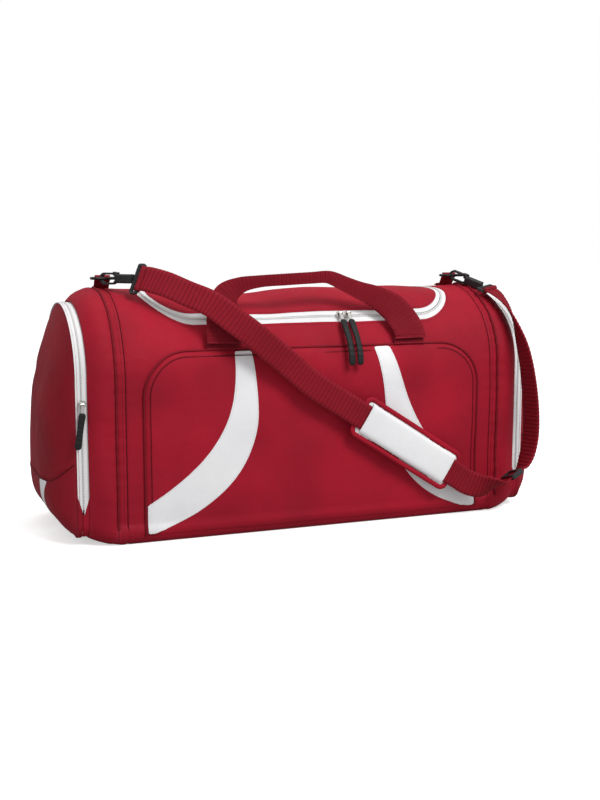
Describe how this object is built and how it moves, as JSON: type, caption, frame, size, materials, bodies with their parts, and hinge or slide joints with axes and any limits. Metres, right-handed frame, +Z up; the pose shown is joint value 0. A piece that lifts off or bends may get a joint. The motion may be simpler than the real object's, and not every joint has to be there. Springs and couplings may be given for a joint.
{
  "type": "hockey equipment bag",
  "caption": "Soft duffel-style equipment bag with a zipped domed lid, zipped end pockets, webbing carry handles and a padded clip-on shoulder strap.",
  "frame": {"origin": "centre of the base, on the floor", "axes": "+X along the bag to the right-hand end pocket, -Y is the front with the pocket and stripes, +Z up"},
  "size_m": [0.7812, 0.3166, 0.3824],
  "materials": {
    "outer_cloth": "woven polyester, matt sheen",
    "end_cloth": "woven polyester, matt sheen",
    "pocket_cloth": "woven polyester, matt sheen",
    "lining": "plain lining cloth",
    "board": "stiff plastic sheet",
    "white_cloth": "woven polyester",
    "zip_tape": "woven zip tape",
    "zip_teeth": "moulded coil",
    "piping": "binding tape",
    "webbing": "ribbed polyester webbing",
    "pad_cloth": "quilted cloth",
    "black_plastic": "moulded acetal",
    "black_rubber": "moulded grip",
    "nickel": "nickel plated zinc"
  },
  "bodies": {
    "bag": {"base_board": "board", "base_panel": "outer_cloth", "body_wrap": "outer_cloth", "body_zip_tape": "zip_tape", "front_handle_anchors": "webbing", "front_pocket_panel": "pocket_cloth", "front_pocket_piping": "piping", "left_d_ring": "black_plastic", "left_end_body_tape": "zip_tape", "left_end_gusset": "end_cloth", "left_end_hinge_seam": "piping", "left_end_wall": "lining", "left_end_zip_chain": "zip_teeth", "left_ring_tab": "webbing", "left_seam_piping": "piping", "left_stripe": "white_cloth", "lid_hinge_seam": "piping", "main_zip_chain": "zip_teeth", "rear_handle_anchors": "webbing", "right_d_ring": "black_plastic", "right_end_body_tape": "zip_tape", "right_end_gusset": "end_cloth", "right_end_hinge_seam": "piping", "right_end_wall": "lining", "right_end_zip_chain": "zip_teeth", "right_ring_tab": "webbing", "right_seam_piping": "piping", "right_stripe": "white_cloth"},
    "lid": {"lid_panel": "outer_cloth", "lid_zip_tape": "zip_tape"},
    "front_handle": {"front_handle": "webbing"},
    "rear_handle": {"rear_handle": "webbing"},
    "strap": {"shoulder_strap": "webbing", "left_snap_hook": "black_plastic", "right_snap_hook": "black_plastic", "left_strap_ring": "black_plastic", "right_strap_ring": "black_plastic"},
    "left_gate": {"left_hook_gate": "black_plastic"},
    "right_gate": {"right_hook_gate": "black_plastic"},
    "pad": {"strap_pad": "pad_cloth", "pad_sleeve": "white_cloth"},
    "glide": {"tri_glide": "black_plastic"},
    "left_main_slider": {"left_main_slider": "nickel"},
    "left_main_pull": {"left_main_pull_tab": "nickel", "left_main_pull": "black_rubber"},
    "left_door": {"left_end_door": "end_cloth", "left_end_door_tape": "zip_tape"},
    "left_end_slider": {"left_end_slider": "nickel"},
    "left_end_pull": {"left_end_pull_tab": "nickel", "left_end_pull": "black_rubber"},
    "right_main_slider": {"right_main_slider": "nickel"},
    "right_main_pull": {"right_main_pull_tab": "nickel", "right_main_pull": "black_rubber"},
    "right_door": {"right_end_door": "end_cloth", "right_end_door_tape": "zip_tape"},
    "right_end_slider": {"right_end_slider": "nickel"},
    "right_end_pull": {"right_end_pull_tab": "nickel", "right_end_pull": "black_rubber"}
  },
  "joints": [
    {"name": "lid_hinge", "type": "hinge", "parent": "bag", "child": "lid", "pos_m": [0, 0.02425, 0.3439], "axis": [-1, 0, 0], "range_deg": [0, 115]},
    {"name": "left_main_slide", "type": "slide", "parent": "bag", "child": "left_main_slider", "axis": [-1, 0, 0], "range_m": [0, 0.12]},
    {"name": "left_main_pull_hinge", "type": "hinge", "parent": "left_main_slider", "child": "left_main_pull", "pos_m": [0.0435, -0.10104, 0.31058], "axis": [-1, 0, 0], "range_deg": [0, 95]},
    {"name": "left_door_hinge", "type": "hinge", "parent": "bag", "child": "left_door", "pos_m": [-0.3423, 0, 0.0109], "axis": [0, -1, 0], "range_deg": [0, 48]},
    {"name": "left_end_slide", "type": "slide", "parent": "bag", "child": "left_end_slider", "axis": [0, 0, 1], "range_m": [-0.12, 0.03]},
    {"name": "left_end_pull_hinge", "type": "hinge", "parent": "left_end_slider", "child": "left_end_pull", "pos_m": [-0.3405, -0.1223, 0.197], "axis": [-1, 0, 0], "range_deg": [0, 150]},
    {"name": "right_main_slide", "type": "slide", "parent": "bag", "child": "right_main_slider", "axis": [1, 0, 0], "range_m": [0, 0.018]},
    {"name": "right_main_pull_hinge", "type": "hinge", "parent": "right_main_slider", "child": "right_main_pull", "pos_m": [0.0565, -0.10104, 0.31058], "axis": [-1, 0, 0], "range_deg": [0, 95]},
    {"name": "right_door_hinge", "type": "hinge", "parent": "bag", "child": "right_door", "pos_m": [0.3423, 0, 0.0109], "axis": [0, 1, 0], "range_deg": [0, 48]},
    {"name": "right_end_slide", "type": "slide", "parent": "bag", "child": "right_end_slider", "axis": [0, 0, 1], "range_m": [-0.12, 0.03]},
    {"name": "right_end_pull_hinge", "type": "hinge", "parent": "right_end_slider", "child": "right_end_pull", "pos_m": [0.3405, 0.1223, 0.197], "axis": [1, 0, 0], "range_deg": [0, 150]},
    {"name": "front_handle_fold", "type": "hinge", "parent": "bag", "child": "front_handle", "pos_m": [0, -0.1295, 0.272], "axis": [1, 0, 0], "range_deg": [-10, 4]},
    {"name": "rear_handle_fold", "type": "hinge", "parent": "bag", "child": "rear_handle", "pos_m": [0, 0.1295, 0.272], "axis": [1, 0, 0], "range_deg": [0, 120]},
    {"name": "strap_swing", "type": "hinge", "parent": "bag", "child": "strap", "pos_m": [0, -0.014, 0.361], "axis": [-1, 0, 0], "range_deg": [0, 125]},
    {"name": "left_gate_hinge", "type": "hinge", "parent": "strap", "child": "left_gate", "pos_m": [-0.2722, -0.0284, 0.368], "axis": [-0.8, -0.6, 0], "range_deg": [0, 10]},
    {"name": "right_gate_hinge", "type": "hinge", "parent": "strap", "child": "right_gate", "pos_m": [0.29255, -0.03078, 0.3615], "axis": [-0.8477, -0.4886, -0.2067], "range_deg": [0, 10]},
    {"name": "pad_slide", "type": "slide", "parent": "strap", "child": "pad", "axis": [0.8456, 0, -0.5338], "range_m": [-0.045, 0.02]},
    {"name": "glide_slide", "type": "slide", "parent": "strap", "child": "glide", "axis": [0.848, 0, 0.53], "range_m": [-0.008, 0.008]}
  ]
}
